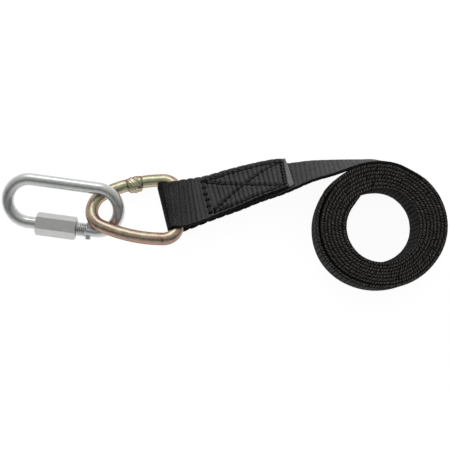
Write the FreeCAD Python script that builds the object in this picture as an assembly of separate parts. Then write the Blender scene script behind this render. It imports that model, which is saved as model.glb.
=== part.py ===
"""Webbing tether: a strap rolled in a coil, its sewn eye, a pear ring and a screw quick link.

Millimetres, +Z up, lying as it rests on a table. The origin is on the table, under the
middle of the whole object, and +X runs from the quick link towards the coil.
"""

import FreeCAD, Part
import math
import os

V = FreeCAD.Vector
X_AXIS = V(1, 0, 0)
Y_AXIS = V(0, 1, 0)
Z_AXIS = V(0, 0, 1)

# ---- quick link: an oval of round rod with a gap in one side, bridged by a sleeve nut
LINK_ROD = 6.0
LINK_BEND_RADIUS = 10.95          # rod centre line
LINK_STRAIGHT = 33.2              # between the two bend centres
THREAD_DIAMETER = 7.0
THREAD_PITCH = 1.0
THREAD_DEPTH = 0.45
NUT_ACROSS_FLATS = 10.0
NUT_LENGTH = 20.0
NUT_START = -12.4                 # along the side, from the middle of the link
NUT_BORE_CLEARANCE = 0.05         # radial, over the thread
NUT_CHAMFER_ANGLE = 30.0
STUB_GRIP = 2.2                   # short threaded stub held in the nut's far end
MOUTH_GAP = 7.5                   # gap that the nut bridges
NUT_SPIN = -21.2                  # brings a facet level while the link leans
NUT_TRAVEL = 5.0                  # bare thread from the nut to the collar
COLLAR_GAP = 0.25                 # left between nut and collar at the end of that travel
COLLAR_LENGTH = 2.1
COLLAR_HEIGHT = 9.2
COLLAR_THICKNESS = 5.0

# ---- pear ring: one welded rod, a straight bar for the webbing and a round nose
RING_ROD = 6.2
RING_NOSE_RADIUS = 8.6            # rod centre line
RING_CORNER_RADIUS = 7.0
RING_SIDE_BOW = 70.0
RING_BAR = 16.88                  # straight part of the bar
RING_REACH = 33.5                 # bar centre line to nose centre
WELD_LENGTH = 7.2
WELD_SWELL = 1.3                  # how far the bead stands over the rod
WELD_FROM_BAR = 20.3

# ---- webbing
WEBBING_WIDTH = 25.0
WEBBING_THICKNESS = 1.6
EYE_WIDTH = 20.4                  # the edges roll in where the webbing passes the bar
EYE_STRAIGHT = 4.0                # past the bar, before the plies come together
EYE_BORE_RADIUS = 3.9             # clears the ring's corners as the ring swings
BEND_GAP = 0.9                    # left free at the bend in the strap

# ---- coil: a two-centre spiral standing on the webbing's edge
COIL_RADIUS = 31.0
COIL_PITCH = 1.72
COIL_TURNED = 2842.0              # degrees wound, from the point where the strap comes in
LEAD_WRAP = 30.0                  # degrees of the outer turn that belong to the lead

# ---- stitching: thread bars lying on the sewn part, top and bottom
THREAD_SIZE = 0.5
STITCH_LENGTH = 2.4
STITCH_GAP = 0.7
STITCH_EDGE_MARGIN = 3.2          # box of stitches to the webbing's edges
STITCH_END_MARGIN = 1.6           # box of stitches to the ends of the sewn part

# ---- where the pieces lie, before the origin is moved under the middle of the object
LINK_CENTRE = V(-79.70, 8.74, 9.42)
LINK_TURN = (-7.8, 0.3, 21.2)     # about Z, Y and X, in degrees
BAR_CENTRE = V(-23.47, 6.29, 8.94)
RING_TURN = (1.0, 1.05, -20.6)
COIL_CENTRE = V(75.3, -2.1, 0)

# The strap from the first stitches to the coil, as places of the lower edge of its lower ply:
# x, y, lean of its face from flat, and turn of its width in plan.
SEWN_STATIONS = [
    (-10.5, 23.0, 26.0, 15.0),
    (1.5, 25.9, 31.0, 14.0),
    (13.5, 28.4, 37.5, 11.0),
    (25.5, 30.3, 45.0, 7.0),
    (31.5, 30.9, 50.0, 4.0),
]
BEND_STATION = (38.0, 31.15, 55.5, 1.5)
LEAD_STATIONS = [
    (45.0, 31.4, 61.0, 0.0),
    (52.5, 31.6, 66.5, 0.0),
    (61.0, 31.8, 74.1, 0.0),
    (67.5, 31.9, 79.8, 0.0),
]
LEAD_FLARE = 3.7                  # how far the lower edge still stands out at the coil


# ---------------------------------------------------------------- helpers

def placed(shape, centre, turn):
    """Turn a shape about X, then Y, then Z, and move its origin to centre."""
    about_z, about_y, about_x = turn
    rotation = FreeCAD.Rotation(Z_AXIS, about_z)
    rotation = rotation.multiply(FreeCAD.Rotation(Y_AXIS, about_y))
    rotation = rotation.multiply(FreeCAD.Rotation(X_AXIS, about_x))
    moved = shape.copy()
    moved.Placement = FreeCAD.Placement(centre, rotation).multiply(shape.Placement)
    return moved


def polar(centre, radius, angle):
    """The point at an angle in radians on a circle in the XY plane."""
    return centre + V(radius * math.cos(angle), radius * math.sin(angle), 0)


def arc(centre, radius, start, end):
    """An arc in the XY plane between two angles in radians."""
    middle = (start + end) / 2
    points = [polar(centre, radius, a) for a in (start, middle, end)]
    return Part.Arc(*points).toShape()


def rod_along(edges, diameter):
    """A round rod whose centre line is a chain of tangent edges."""
    path = Part.Wire(edges)
    first = edges[0]
    start = first.valueAt(first.FirstParameter)
    heading = first.tangentAt(first.FirstParameter)
    section = Part.Wire(Part.makeCircle(diameter / 2, start, heading))
    return path.makePipeShell([section], True, True)


def one_solid(shape):
    """The single solid of a fused shape, with its split faces merged."""
    solid = shape.removeSplitter()
    return solid.Solids[0] if len(solid.Solids) == 1 else solid


# ---------------------------------------------------------------- quick link

def link_body():
    """Rod, threaded ends and collar. The side with the nut runs along X at -Y."""
    half = LINK_STRAIGHT / 2
    radius = LINK_BEND_RADIUS
    right = V(half, 0, 0)
    left = V(-half, 0, 0)
    stub_end = NUT_START + STUB_GRIP
    thread_start = stub_end + MOUTH_GAP
    collar_start = NUT_START + NUT_LENGTH + NUT_TRAVEL + COLLAR_GAP
    edges = [
        Part.LineSegment(V(collar_start, -radius, 0), V(half, -radius, 0)).toShape(),
        arc(right, radius, -math.pi / 2, math.pi / 2),
        Part.LineSegment(V(half, radius, 0), V(-half, radius, 0)).toShape(),
        arc(left, radius, math.pi / 2, 3 * math.pi / 2),
        Part.LineSegment(V(-half, -radius, 0), V(NUT_START, -radius, 0)).toShape(),
    ]
    body = rod_along(edges, LINK_ROD)
    body = body.fuse(threaded_rod(NUT_START, stub_end))
    body = body.fuse(threaded_rod(thread_start, collar_start))
    body = body.fuse(collar(collar_start))
    return one_solid(body)


def threaded_rod(start, end):
    """A threaded length of the link's side, its thread drawn as parallel grooves."""
    radius = THREAD_DIAMETER / 2
    profile = [V(start, 0, 0), V(start, radius - THREAD_DEPTH, 0)]
    count = int((end - start) / THREAD_PITCH)
    margin = (end - start - count * THREAD_PITCH) / 2
    for turn in range(count):
        root = start + margin + turn * THREAD_PITCH
        profile.append(V(root, radius - THREAD_DEPTH, 0))
        profile.append(V(root + THREAD_PITCH * 0.4, radius, 0))
        profile.append(V(root + THREAD_PITCH * 0.6, radius, 0))
    profile.append(V(end - margin, radius - THREAD_DEPTH, 0))
    if margin > 0:
        profile.append(V(end, radius - THREAD_DEPTH, 0))
    profile.append(V(end, 0, 0))
    face = Part.Face(Part.makePolygon(profile + [profile[0]]))
    thread = face.revolve(V(0, 0, 0), X_AXIS, 360)
    thread.translate(V(0, -LINK_BEND_RADIUS, 0))
    return thread


def collar(start):
    """The pinched ears that stop the nut."""
    disc = Part.makeCylinder(COLLAR_HEIGHT / 2, COLLAR_LENGTH, V(start, 0, 0), X_AXIS)
    slab = Part.makeBox(COLLAR_LENGTH, COLLAR_HEIGHT, COLLAR_THICKNESS,
                        V(start, -COLLAR_HEIGHT / 2, -COLLAR_THICKNESS / 2))
    ears = disc.common(slab)
    ears.translate(V(0, -LINK_BEND_RADIUS, 0))
    return ears


def link_nut():
    """Hexagonal sleeve nut with a facet facing up, chamfered ends and a through bore."""
    corner = NUT_ACROSS_FLATS / math.sqrt(3)
    points = [V(NUT_START, corner * math.cos(math.radians(60 * i)),
                corner * math.sin(math.radians(60 * i))) for i in range(7)]
    prism = Part.Face(Part.makePolygon(points)).extrude(V(NUT_LENGTH, 0, 0))
    rise = corner - NUT_ACROSS_FLATS / 2 + 0.25
    run = rise * math.tan(math.radians(NUT_CHAMFER_ANGLE))
    end = NUT_START + NUT_LENGTH
    outline = [
        V(NUT_START, 0, 0), V(NUT_START, corner - rise, 0), V(NUT_START + run, corner, 0),
        V(end - run, corner, 0), V(end, corner - rise, 0), V(end, 0, 0),
    ]
    envelope = Part.Face(Part.makePolygon(outline + [outline[0]])).revolve(V(0, 0, 0), X_AXIS, 360)
    bore_radius = THREAD_DIAMETER / 2 + NUT_BORE_CLEARANCE
    bore = Part.makeCylinder(bore_radius, NUT_LENGTH, V(NUT_START, 0, 0), X_AXIS)
    nut = one_solid(prism.common(envelope).cut(bore))
    nut.rotate(V(0, 0, 0), X_AXIS, NUT_SPIN)
    nut.translate(V(0, -LINK_BEND_RADIUS, 0))
    return nut


# ---------------------------------------------------------------- pear ring

def ring_discs():
    """Centres of the nose, the upper corner and the upper side's bow, in the ring's plane."""
    nose = V(-RING_REACH, 0, 0)
    corner = V(-RING_CORNER_RADIUS, RING_BAR / 2, 0)
    to_nose = RING_SIDE_BOW - RING_NOSE_RADIUS
    to_corner = RING_SIDE_BOW - RING_CORNER_RADIUS
    apart = corner.sub(nose)
    along = (to_nose ** 2 - to_corner ** 2 + apart.Length ** 2) / (2 * apart.Length)
    aside = math.sqrt(to_nose ** 2 - along ** 2)
    unit = V(apart.x, apart.y, 0).normalize()
    bow = nose + unit * along + V(unit.y, -unit.x, 0) * aside
    return nose, corner, bow


def ring_body():
    """The closed rod in the XY plane, bar along Y at the origin, with its butt weld."""
    nose, corner, bow = ring_discs()
    low_corner = V(corner.x, -corner.y, 0)
    low_bow = V(bow.x, -bow.y, 0)
    at_corner = math.atan2(corner.y - bow.y, corner.x - bow.x)
    at_nose = math.atan2(nose.y - bow.y, nose.x - bow.x)
    edges = [
        Part.LineSegment(V(0, -RING_BAR / 2, 0), V(0, RING_BAR / 2, 0)).toShape(),
        arc(corner, RING_CORNER_RADIUS, 0, at_corner),
        arc(bow, RING_SIDE_BOW, at_corner, at_nose),
        arc(nose, RING_NOSE_RADIUS, at_nose, 2 * math.pi - at_nose),
        arc(low_bow, RING_SIDE_BOW, -at_nose, -at_corner),
        arc(low_corner, RING_CORNER_RADIUS, -at_corner, 0),
    ]
    ring = rod_along(edges, RING_ROD)
    return one_solid(ring.fuse(weld_bead(bow)))


def weld_bead(bow):
    """The swelling of the butt weld on the ring's upper side."""
    across = -WELD_FROM_BAR - bow.x
    centre = V(-WELD_FROM_BAR, bow.y + math.sqrt(RING_SIDE_BOW ** 2 - across ** 2), 0)
    half = WELD_LENGTH / 2
    low = RING_ROD / 2 - 0.1
    high = RING_ROD / 2 + WELD_SWELL
    outline = Part.Arc(V(-half, low, 0), V(0, high, 0), V(half, low, 0)).toShape()
    base = Part.makePolygon([V(half, low, 0), V(half, 0, 0), V(-half, 0, 0), V(-half, low, 0)])
    bead = Part.Face(Part.Wire([outline] + base.Edges)).revolve(V(0, 0, 0), X_AXIS, 360)
    slope = math.degrees(math.atan2(across, -(centre.y - bow.y)))
    bead.Placement = FreeCAD.Placement(centre, FreeCAD.Rotation(Z_AXIS, slope - 180))
    return bead


# ---------------------------------------------------------------- webbing

class Station:
    """One cross-section of the strap: lower edge of the lower ply, width, face and heading."""

    def __init__(self, x, y, lean, turn):
        lean = math.radians(lean)
        turn = math.radians(turn)
        flat = V(math.sin(turn), -math.cos(turn), 0)
        self.width = flat * math.cos(lean) + Z_AXIS * math.sin(lean)
        self.face = flat * -math.sin(lean) + Z_AXIS * math.cos(lean)
        self.edge = V(x, y, WEBBING_THICKNESS / 2 * math.cos(lean))

    def point(self, across, above):
        """A point at a distance across the width and above the lower ply's middle."""
        return self.edge + self.width * across + self.face * above


def section(station, below, above):
    """The rectangle of webbing between two heights at a station."""
    corners = [(0, below), (WEBBING_WIDTH, below), (WEBBING_WIDTH, above), (0, above)]
    points = [station.point(*corner) for corner in corners]
    return Part.makePolygon(points + [points[0]])


def band(sections):
    """A closed solid of webbing ruled through a row of rectangles."""
    return Part.makeLoft(sections, True, True)


def shifted(station, along):
    """The same cross-section moved along the strap's heading."""
    moved = Station(0, 0, 0, 0)
    moved.width = station.width
    moved.face = station.face
    moved.edge = station.edge + station.width.cross(station.face) * -along
    return moved


def eye_loop():
    """The turn of webbing round the ring's bar, in the ring's frame: bar along Y."""
    half = EYE_WIDTH / 2
    wall = Part.makePolygon([
        V(0, -half, EYE_BORE_RADIUS), V(0, half, EYE_BORE_RADIUS),
        V(0, half, EYE_BORE_RADIUS + WEBBING_THICKNESS),
        V(0, -half, EYE_BORE_RADIUS + WEBBING_THICKNESS), V(0, -half, EYE_BORE_RADIUS),
    ])
    return Part.Face(wall).revolve(V(0, 0, 0), Y_AXIS, -180)


def eye_ply(below, above):
    """Two rectangles on one of the loop's plies: level with the bar and a little past it."""
    half = EYE_WIDTH / 2
    ends = []
    for x in (0, EYE_STRAIGHT):
        corners = [V(x, half, below), V(x, -half, below), V(x, -half, above), V(x, half, above)]
        ends.append(placed(Part.makePolygon(corners + [corners[0]]), BAR_CENTRE, RING_TURN))
    return ends


def strap_eye():
    """Loop round the bar, two sewn plies and the start of the single ply."""
    half_ply = WEBBING_THICKNESS / 2
    sewn = [Station(*values) for values in SEWN_STATIONS]
    near = EYE_BORE_RADIUS
    far = EYE_BORE_RADIUS + WEBBING_THICKNESS
    upper = band(eye_ply(near, far) + [section(sewn[0], half_ply, 3 * half_ply)])
    lower = band(eye_ply(-far, -near) + [section(sewn[0], -half_ply, half_ply)])
    double = band([section(station, -half_ply, 3 * half_ply) for station in sewn])
    bend = shifted(Station(*BEND_STATION), -BEND_GAP / 2)
    single = band([section(sewn[-1], -half_ply, half_ply), section(bend, -half_ply, half_ply)])
    loop = placed(eye_loop(), BAR_CENTRE, RING_TURN)
    return one_solid(loop.fuse([upper, lower, double, single]))


def coil_station(wound, flare):
    """A cross-section on the coil's outer turn, its lower edge standing out by flare."""
    angle = math.pi / 2 - math.radians(wound)
    lean = math.degrees(math.acos(flare / WEBBING_WIDTH))
    edge = polar(COIL_CENTRE, COIL_RADIUS - WEBBING_THICKNESS / 2 + flare, angle)
    return Station(edge.x, edge.y, lean, -wound)


def strap_lead():
    """The single ply from the bend to the coil, turning up onto its edge."""
    half_ply = WEBBING_THICKNESS / 2
    stations = [shifted(Station(*BEND_STATION), BEND_GAP / 2)]
    stations += [Station(*values) for values in LEAD_STATIONS]
    steps = 4
    for step in range(steps + 1):
        share = step / steps
        stations.append(coil_station(LEAD_WRAP * share, LEAD_FLARE * (1 - share)))
    return one_solid(band([section(station, -half_ply, half_ply) for station in stations]))


def spiral_edges(radius):
    """Half-turn arcs of a clockwise two-centre spiral, from the end of the lead inwards."""
    edges = []
    wound = LEAD_WRAP
    half_turns = 0
    while wound < COIL_TURNED:
        end = min((half_turns + 1) * 180.0, COIL_TURNED)
        shift = COIL_PITCH / 2 if half_turns % 2 else 0.0
        centre = COIL_CENTRE - Y_AXIS * shift
        bend = radius - half_turns * COIL_PITCH / 2
        start_angle = math.pi / 2 - math.radians(wound)
        end_angle = math.pi / 2 - math.radians(end)
        edges.append(arc(centre, bend, start_angle, end_angle))
        wound = end
        half_turns += 1
    return edges


def strap_coil():
    """The rolled length of webbing, standing on its edge."""
    outer = spiral_edges(COIL_RADIUS)
    inner = spiral_edges(COIL_RADIUS - WEBBING_THICKNESS)
    start_cap = Part.LineSegment(inner[0].valueAt(inner[0].FirstParameter),
                                 outer[0].valueAt(outer[0].FirstParameter)).toShape()
    end_cap = Part.LineSegment(outer[-1].valueAt(outer[-1].LastParameter),
                               inner[-1].valueAt(inner[-1].LastParameter)).toShape()
    outline = Part.Wire(Part.__sortEdges__(outer + [end_cap] + inner + [start_cap]))
    return Part.Face(outline).extrude(Z_AXIS * WEBBING_WIDTH)


# ---------------------------------------------------------------- stitching

def sewn_point(along, across, above):
    """A point on the sewn part, at a distance along it from its first cross-section."""
    sewn = [Station(*values) for values in SEWN_STATIONS]
    middles = [station.point(WEBBING_WIDTH / 2, 0) for station in sewn]
    for index in range(len(sewn) - 1):
        length = middles[index].distanceToPoint(middles[index + 1])
        if along <= length or index == len(sewn) - 2:
            share = along / length
            near = sewn[index].point(across, above)
            far = sewn[index + 1].point(across, above)
            return near * (1 - share) + far * share
        along -= length
    return None


def sewn_length():
    """Length of the sewn part along its middle."""
    middles = [Station(*values).point(WEBBING_WIDTH / 2, 0) for values in SEWN_STATIONS]
    return sum(a.distanceToPoint(b) for a, b in zip(middles, middles[1:]))


def stitch_rows():
    """The box and its two diagonals, as pairs of (along, across) ends."""
    near = STITCH_END_MARGIN
    far = sewn_length() - STITCH_END_MARGIN
    low = STITCH_EDGE_MARGIN
    high = WEBBING_WIDTH - STITCH_EDGE_MARGIN
    return [
        ((near, low), (far, low)), ((near, high), (far, high)),
        ((near, low), (near, high)), ((far, low), (far, high)),
        ((near, low), (far, high)), ((near, high), (far, low)),
    ]


def stitches(above, end_trim):
    """Thread bars along every row, half sunk in the ply at the given height."""
    bars = []
    for start, end in stitch_rows():
        run = math.hypot(end[0] - start[0], end[1] - start[1])
        count = int((run - 2 * end_trim) / (STITCH_LENGTH + STITCH_GAP))
        step = (run - 2 * end_trim) / count
        for index in range(count):
            share_a = (end_trim + index * step + STITCH_GAP / 2) / run
            share_b = (end_trim + (index + 1) * step - STITCH_GAP / 2) / run
            ends = []
            for share in (share_a, share_b):
                along = start[0] + (end[0] - start[0]) * share
                across = start[1] + (end[1] - start[1]) * share
                ends.append(sewn_point(along, across, above))
            bar = ends[1].sub(ends[0])
            bars.append(Part.makeCylinder(THREAD_SIZE / 2, bar.Length, ends[0], bar))
    return bars


def clear_of_each_other(bars):
    """Drop a bar that would cross one already kept, where the diagonals meet."""
    kept = []
    for bar in bars:
        near = [other for other in kept if other.BoundBox.intersect(bar.BoundBox)]
        if all(other.distToShape(bar)[0] > 0.05 for other in near):
            kept.append(bar)
    return Part.makeCompound(kept)


# ---------------------------------------------------------------- the whole object

def build():
    """Every node's shape, in the layout's frame."""
    half_ply = WEBBING_THICKNESS / 2
    return {
        "quick_link_body": placed(link_body(), LINK_CENTRE, LINK_TURN),
        "quick_link_nut": placed(link_nut(), LINK_CENTRE, LINK_TURN),
        "pear_ring": placed(ring_body(), BAR_CENTRE, RING_TURN),
        "strap_eye": strap_eye(),
        "strap_lead": strap_lead(),
        "strap_coil": strap_coil(),
        "needle_thread": clear_of_each_other(stitches(3 * half_ply, STITCH_GAP)),
        "bobbin_thread": clear_of_each_other(stitches(-half_ply, STITCH_GAP)),
    }


def main():
    """Move the origin under the middle of the object and write one STEP file per node."""
    nodes = build()
    box = FreeCAD.BoundBox()
    for shape in nodes.values():
        box.add(shape.BoundBox)
    home = V(-box.Center.x, -box.Center.y, 0)
    os.makedirs("parts", exist_ok=True)
    print("origin moved by", round(home.x, 3), round(home.y, 3))
    for name, shape in nodes.items():
        moved = shape.copy()
        moved.translate(home)
        moved.exportStep(os.path.join("parts", name + ".step"))
        print(name, len(moved.Solids), "solids", round(moved.Volume, 1), "mm3", moved.isValid())


main()
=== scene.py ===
"""Looks of the webbing tether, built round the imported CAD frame.

Lengths in this file are millimetres in the CAD layout's frame and are turned into metres in
the row frame where a mesh is made.
"""

import math

import bmesh
import bpy
import numpy as np
from mathutils import Matrix, Vector, kdtree, noise


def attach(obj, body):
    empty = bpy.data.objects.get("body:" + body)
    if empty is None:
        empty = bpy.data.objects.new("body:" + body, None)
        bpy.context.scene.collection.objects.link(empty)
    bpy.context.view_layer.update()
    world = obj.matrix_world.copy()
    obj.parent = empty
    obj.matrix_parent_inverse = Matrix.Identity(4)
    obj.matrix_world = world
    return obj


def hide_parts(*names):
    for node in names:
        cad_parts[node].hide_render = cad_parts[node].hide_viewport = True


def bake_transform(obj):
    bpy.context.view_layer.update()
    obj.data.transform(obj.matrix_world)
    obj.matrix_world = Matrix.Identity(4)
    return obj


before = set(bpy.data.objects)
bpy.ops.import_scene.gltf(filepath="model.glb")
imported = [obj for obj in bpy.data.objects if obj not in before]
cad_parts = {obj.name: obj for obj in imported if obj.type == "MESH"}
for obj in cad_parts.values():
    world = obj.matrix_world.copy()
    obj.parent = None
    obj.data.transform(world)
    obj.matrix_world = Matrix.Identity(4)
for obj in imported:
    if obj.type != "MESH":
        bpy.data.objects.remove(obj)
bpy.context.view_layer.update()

MM = 0.001
HOME = np.array([2.403, 0.183, 0.0])    # layout frame to row frame

# ---- layout shared with the CAD source
BAR_CENTRE = np.array([-23.47, 6.29, 8.94])
RING_TURN = (1.0, 1.05, -20.6)
RING_ROD = 6.2
WEBBING_WIDTH = 25.0

# ---- pear ring, in its own frame: bar along Y, nose toward -X
NOSE_REACH = 33.5                 # bar centre line to the nose's centre
NOSE_RADIUS = 8.6
SHOULDER_RADIUS = 10.8            # the nose is fuller on its upper side
CORNER_RADIUS = 7.0
LOW_BAR = 8.44                    # straight part of the bar, each side of its middle
HIGH_BAR = 9.7
LOW_BOW = 70.0
HIGH_BOW = 62.0
WELD_AT = 21.3                    # from the bar, on the upper side
WELD_HALF = 3.7
WELD_SWELL = 0.85
WELD_SINK = 0.75                  # the bead hangs toward the inside of the ring
WELD_CREASE = 0.16                # groove at each end of the bead
NICK_AT = 7.4                     # a small cut on the lower side, from the bar
NICK_FACING = math.radians(50)
NICK_DEPTH = 0.4
CORNER_LIFT = 0.5                 # the upper side rises toward its corner
LIFT_FROM = 4.0
LIFT_OVER = 9.0
RING_STEP = 0.28
RING_SIDES = 44

# ---- webbing
PLY = 1.55
PLY_GAP = 0.03                    # each sewn ply keeps off the middle by this much
LOWER_FACE = -1.5 * PLY - 2 * PLY_GAP    # the lower ply's outside, from the upper ply's middle
RIB_PITCH = 2.32
RIB_DEPTH = 0.34
COIL_RIB_DEPTH = 0.16             # pressed flatter where the turns touch
FINE_RIBS = 0.6                   # pitch of the fine ribs near the bar, as a share
FINE_REACH = 18.5
SCALLOP_PITCH = 4.64
SCALLOP = 0.34
BEAD_PITCH = 1.55                 # woven lumps along the selvedge
BEAD = 0.12
FLECK_PITCH = 1.3                 # light yarn showing on the woven edges
YARN_PITCH = 0.62
SELVEDGE = 0.55
FRONT_SEAM = 41.6                 # the sewing flattens the ribs here
TURN_AT = 66.0                    # from the sealed end to the turn round the bar
TAUT_FROM = 118.0                 # the free stretch is pulled smoother
TAUT_TO = 203.0
END_TRIM = 1.4                    # the crust on the cut end takes the ply's last bit
PATH_STEPS = 24                   # rows of the strap's course between two stations
EYE_STEP = 0.30
EYE_ACROSS = 60
SEWN_FLECKS = [(0.004, 0.004, 0.004), (0.022, 0.021, 0.020)]

# ---- coil; places in it are degrees wound from its outer start
COIL_CENTRE = np.array([75.9, -2.4, 0.0])
COIL_START = 62.0                 # direction of the start as seen from above
COIL_TURNED = 2814.0
COIL_JOIN = 12.0                  # the coil's own piece starts here
COIL_ROW = 2.0
COIL_STEP = 0.37
COIL_ACROSS = 9
COIL_PAINTED_SHADE = 0.12                  # painted shade: darkens the rolled webbing all over, for less light on its walls
COIL_SWELL = 0.1                  # the ply is this much thicker in the coil, at the least
GAP_FROM = 90.0                   # the first two turns stand apart between these
GAP_TO = 278.0
FOOT_FROM = 262.0                 # the first turn's foot stands out between these
FOOT_TO = 358.0
FOOT_OUT = 1.5
FOOT_FADE_FROM = 1000.0           # deeper in, the turns' feet come back under their tops
FOOT_FADE_OVER = 1200.0
LEAN_FROM = 1400.0                # the inner turns lean more and more
LEAN = 1.9
LEAN_TOWARD = math.radians(125)
TUCK = 0.42                       # the free end is pressed thin against the turn outside it
TUCKED = 16.0
COIL_FLECKS = [(0.0125, 0.0118, 0.0110), (0.108, 0.101, 0.094)]

# ---- sewing: each seam's two ends as (mm from the sealed end, mm from the low edge), and pitch
SEAMS = [
    ([(43.0, 3.6), (43.0, 21.9)], 3.35),
    ([(41.0, 3.2), (3.4, 2.7)], 2.9),
    ([(40.6, 22.5), (3.8, 22.4)], 2.9),
    ([(3.0, 3.6), (3.0, 21.6)], 2.6),
    ([(40.4, 4.6), (5.2, 21.2)], 2.9),
    ([(40.2, 20.8), (5.4, 4.0)], 2.9),
]
THREAD_RADIUS = 0.30
THREAD_SIDES = 10
THREAD_STEPS = 13
THREAD_DIP = 0.72                 # how deep a stitch's ends go in
THREAD_RISE = 0.62
HOLE_DEPTH = 1.1
CROSS_DENT = (1.5, 0.75)          # a hole's reach along and across the webbing, by seam
LONG_DENT = (0.85, 0.8)
SEAM_DEPTH = 0.34
PILLOW = 0.34                     # the webbing rises beside a seam
PILLOW_OFF = 1.8
SEAM_REACH = 3.6
SEAM_SAMPLES = 9                  # points of a seam's line in each stitch
NEEDLE_SLIP = 0.22
UPPER_SEWN_TO = 48.0              # the upper ply is drawn in up to this length
LOWER_SEWN = (-14.0, 33.0)        # and the lower ply between these x of its low edge
CRUST_STATIONS = 90
CRUST_SIDES = 22

# Sewn slab and lead: low edge x, y, z of the middle plane, lean from flat, turn in plan.
SLAB = [
    (-10.5, 23.75, 1.50, 26.0, 15.0),
    (1.5, 26.85, 1.45, 31.0, 14.5),
    (13.5, 29.5, 1.40, 38.0, 11.0),
    (25.5, 31.5, 1.25, 44.0, 7.0),
    (31.5, 31.5, 1.15, 50.5, 4.0),
]
SLIPS = [0.2, 0.5, 0.8, 1.1, 1.3]
LEAD = [
    (42.5, 32.05, 0.6, 59.0, 0.0),
    (52.5, 32.4, 0.5, 65.7, 0.0),
    (61.0, 32.5, 0.4, 72.7, 0.0),
    (67.5, 32.5, 0.3, 77.4, 0.0),
    (75.5, 32.4, 0.2, 79.3, 0.0),
    (83.5, 29.6, 0.1, 82.9, -14.0),
]
# Turn round the bar in the ring's frame: low edge then high edge of each cross-section.
FOLD = [
    ((1.5, 14.6, 4.6), (3.5, -11.4, 4.3)),
    ((-2.5, 13.9, 4.35), (-0.2, -11.3, 4.1)),
    ((-6.2, 13.6, 4.1), (-2.2, -11.2, 3.5)),
    ((-8.6, 13.5, 3.3), (-3.5, -11.05, 1.9)),
    ((-9.2, 12.9, 1.9), (-4.0, -11.0, -0.1)),
    ((-9.0, 12.1, 0.2), (-3.6, -10.9, -1.9)),
    ((-8.0, 11.9, -1.6), (-2.5, -10.7, -3.3)),
    ((-5.8, 12.1, -3.2), (-1.0, -10.3, -4.1)),
    ((-2.6, 12.6, -4.1), (1.6, -9.9, -4.2)),
]
# Outer face of the coil's first, second, last but one and last turns, by degrees wound.
TURN_1 = [(0, 30.0), (22, 30.3), (62, 30.7), (102, 30.2), (132, 30.2), (152, 30.4), (174, 31.0),
          (194, 31.9), (214, 32.6), (242, 32.7), (262, 32.4), (280, 31.7), (297, 30.9),
          (322, 29.9), (340, 29.45), (350, 29.0), (360, 28.4)]
TURN_2 = [(0, 28.4), (22, 28.65), (62, 29.05), (102, 28.5), (132, 28.55), (152, 28.6),
          (174, 28.9), (194, 29.7), (214, 30.2), (242, 30.2), (262, 29.8), (280, 29.5),
          (297, 29.0), (322, 28.2), (340, 27.5), (360, 26.7)]
TURN_7 = [(0, 20.35), (22, 20.2), (62, 20.5), (89, 20.4), (109, 20.6), (132, 20.8), (152, 21.0),
          (166, 21.1), (202, 21.7), (242, 21.7), (282, 20.8), (297, 19.9), (322, 19.1),
          (340, 18.9), (360, 18.75)]
TURN_8 = [(0, 18.75), (22, 18.6), (62, 18.8), (82, 19.0), (109, 19.2), (132, 19.3), (152, 19.4),
          (166, 19.6), (202, 19.9), (242, 19.5), (282, 18.6), (297, 18.4), (360, 18.0)]

# ---- light: brightness of the surroundings by direction, from the near side to the far side
STUDIO = [(-1.0, 0.80), (-0.80, 0.62), (-0.66, 0.36), (-0.52, 0.14), (-0.32, 0.15),
          (-0.10, 0.44), (0.15, 0.52), (0.5, 0.62), (0.85, 0.80), (1.0, 0.9)]
KEY_POWER = 1.3
KEY_PLACE = (-0.12, 0.80, 0.50)
KEY_SIZE = 0.45
FLOOR_DROP = 0.0002
CAMERA_PLACE = (-0.0001, -0.0573, 0.572)
CAMERA_TARGET = Vector((0.0024, 0.0002, 0.0))
PICTURE_WIDTH = 0.225             # metres across the picture at the target
SENSOR_WIDTH = 36


# ---------------------------------------------------------------- small maths

def rotation(turn):
    """Matrix that turns about X, then Y, then Z."""
    z, y, x = [math.radians(t) for t in turn]
    about_z = np.array([[math.cos(z), -math.sin(z), 0], [math.sin(z), math.cos(z), 0], [0, 0, 1]])
    about_y = np.array([[math.cos(y), 0, math.sin(y)], [0, 1, 0], [-math.sin(y), 0, math.cos(y)]])
    about_x = np.array([[1, 0, 0], [0, math.cos(x), -math.sin(x)], [0, math.sin(x), math.cos(x)]])
    return about_z @ about_y @ about_x


def from_ring(point):
    """Layout point of a point in the ring's own frame."""
    return rotation(RING_TURN) @ np.array(point, float) + BAR_CENTRE


def unit(rows):
    """Rows scaled to length one."""
    return rows / np.linalg.norm(rows, axis=-1, keepdims=True)


def smooth_path(knots, steps):
    """Catmull-Rom curve through rows of numbers, spaced by chord length."""
    knots = np.asarray(knots, float)
    ends = np.vstack([2 * knots[0] - knots[1], knots, 2 * knots[-1] - knots[-2]])
    chords = np.linalg.norm(np.diff(ends[:, :3], axis=0), axis=1) ** 0.5
    times = np.concatenate([[0], np.cumsum(chords)])
    rows = []
    for i in range(1, len(ends) - 2):
        t0, t1, t2, t3 = times[i - 1:i + 3]
        p0, p1, p2, p3 = ends[i - 1:i + 3]
        for t in np.linspace(t1, t2, steps, endpoint=False):
            a1 = (t1 - t) / (t1 - t0) * p0 + (t - t0) / (t1 - t0) * p1
            a2 = (t2 - t) / (t2 - t1) * p1 + (t - t1) / (t2 - t1) * p2
            a3 = (t3 - t) / (t3 - t2) * p2 + (t - t2) / (t3 - t2) * p3
            b1 = (t2 - t) / (t2 - t0) * a1 + (t - t0) / (t2 - t0) * a2
            b2 = (t3 - t) / (t3 - t1) * a2 + (t - t1) / (t3 - t1) * a3
            rows.append((t2 - t) / (t2 - t1) * b1 + (t - t1) / (t2 - t1) * b2)
    rows.append(knots[-1])
    return np.array(rows)


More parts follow.
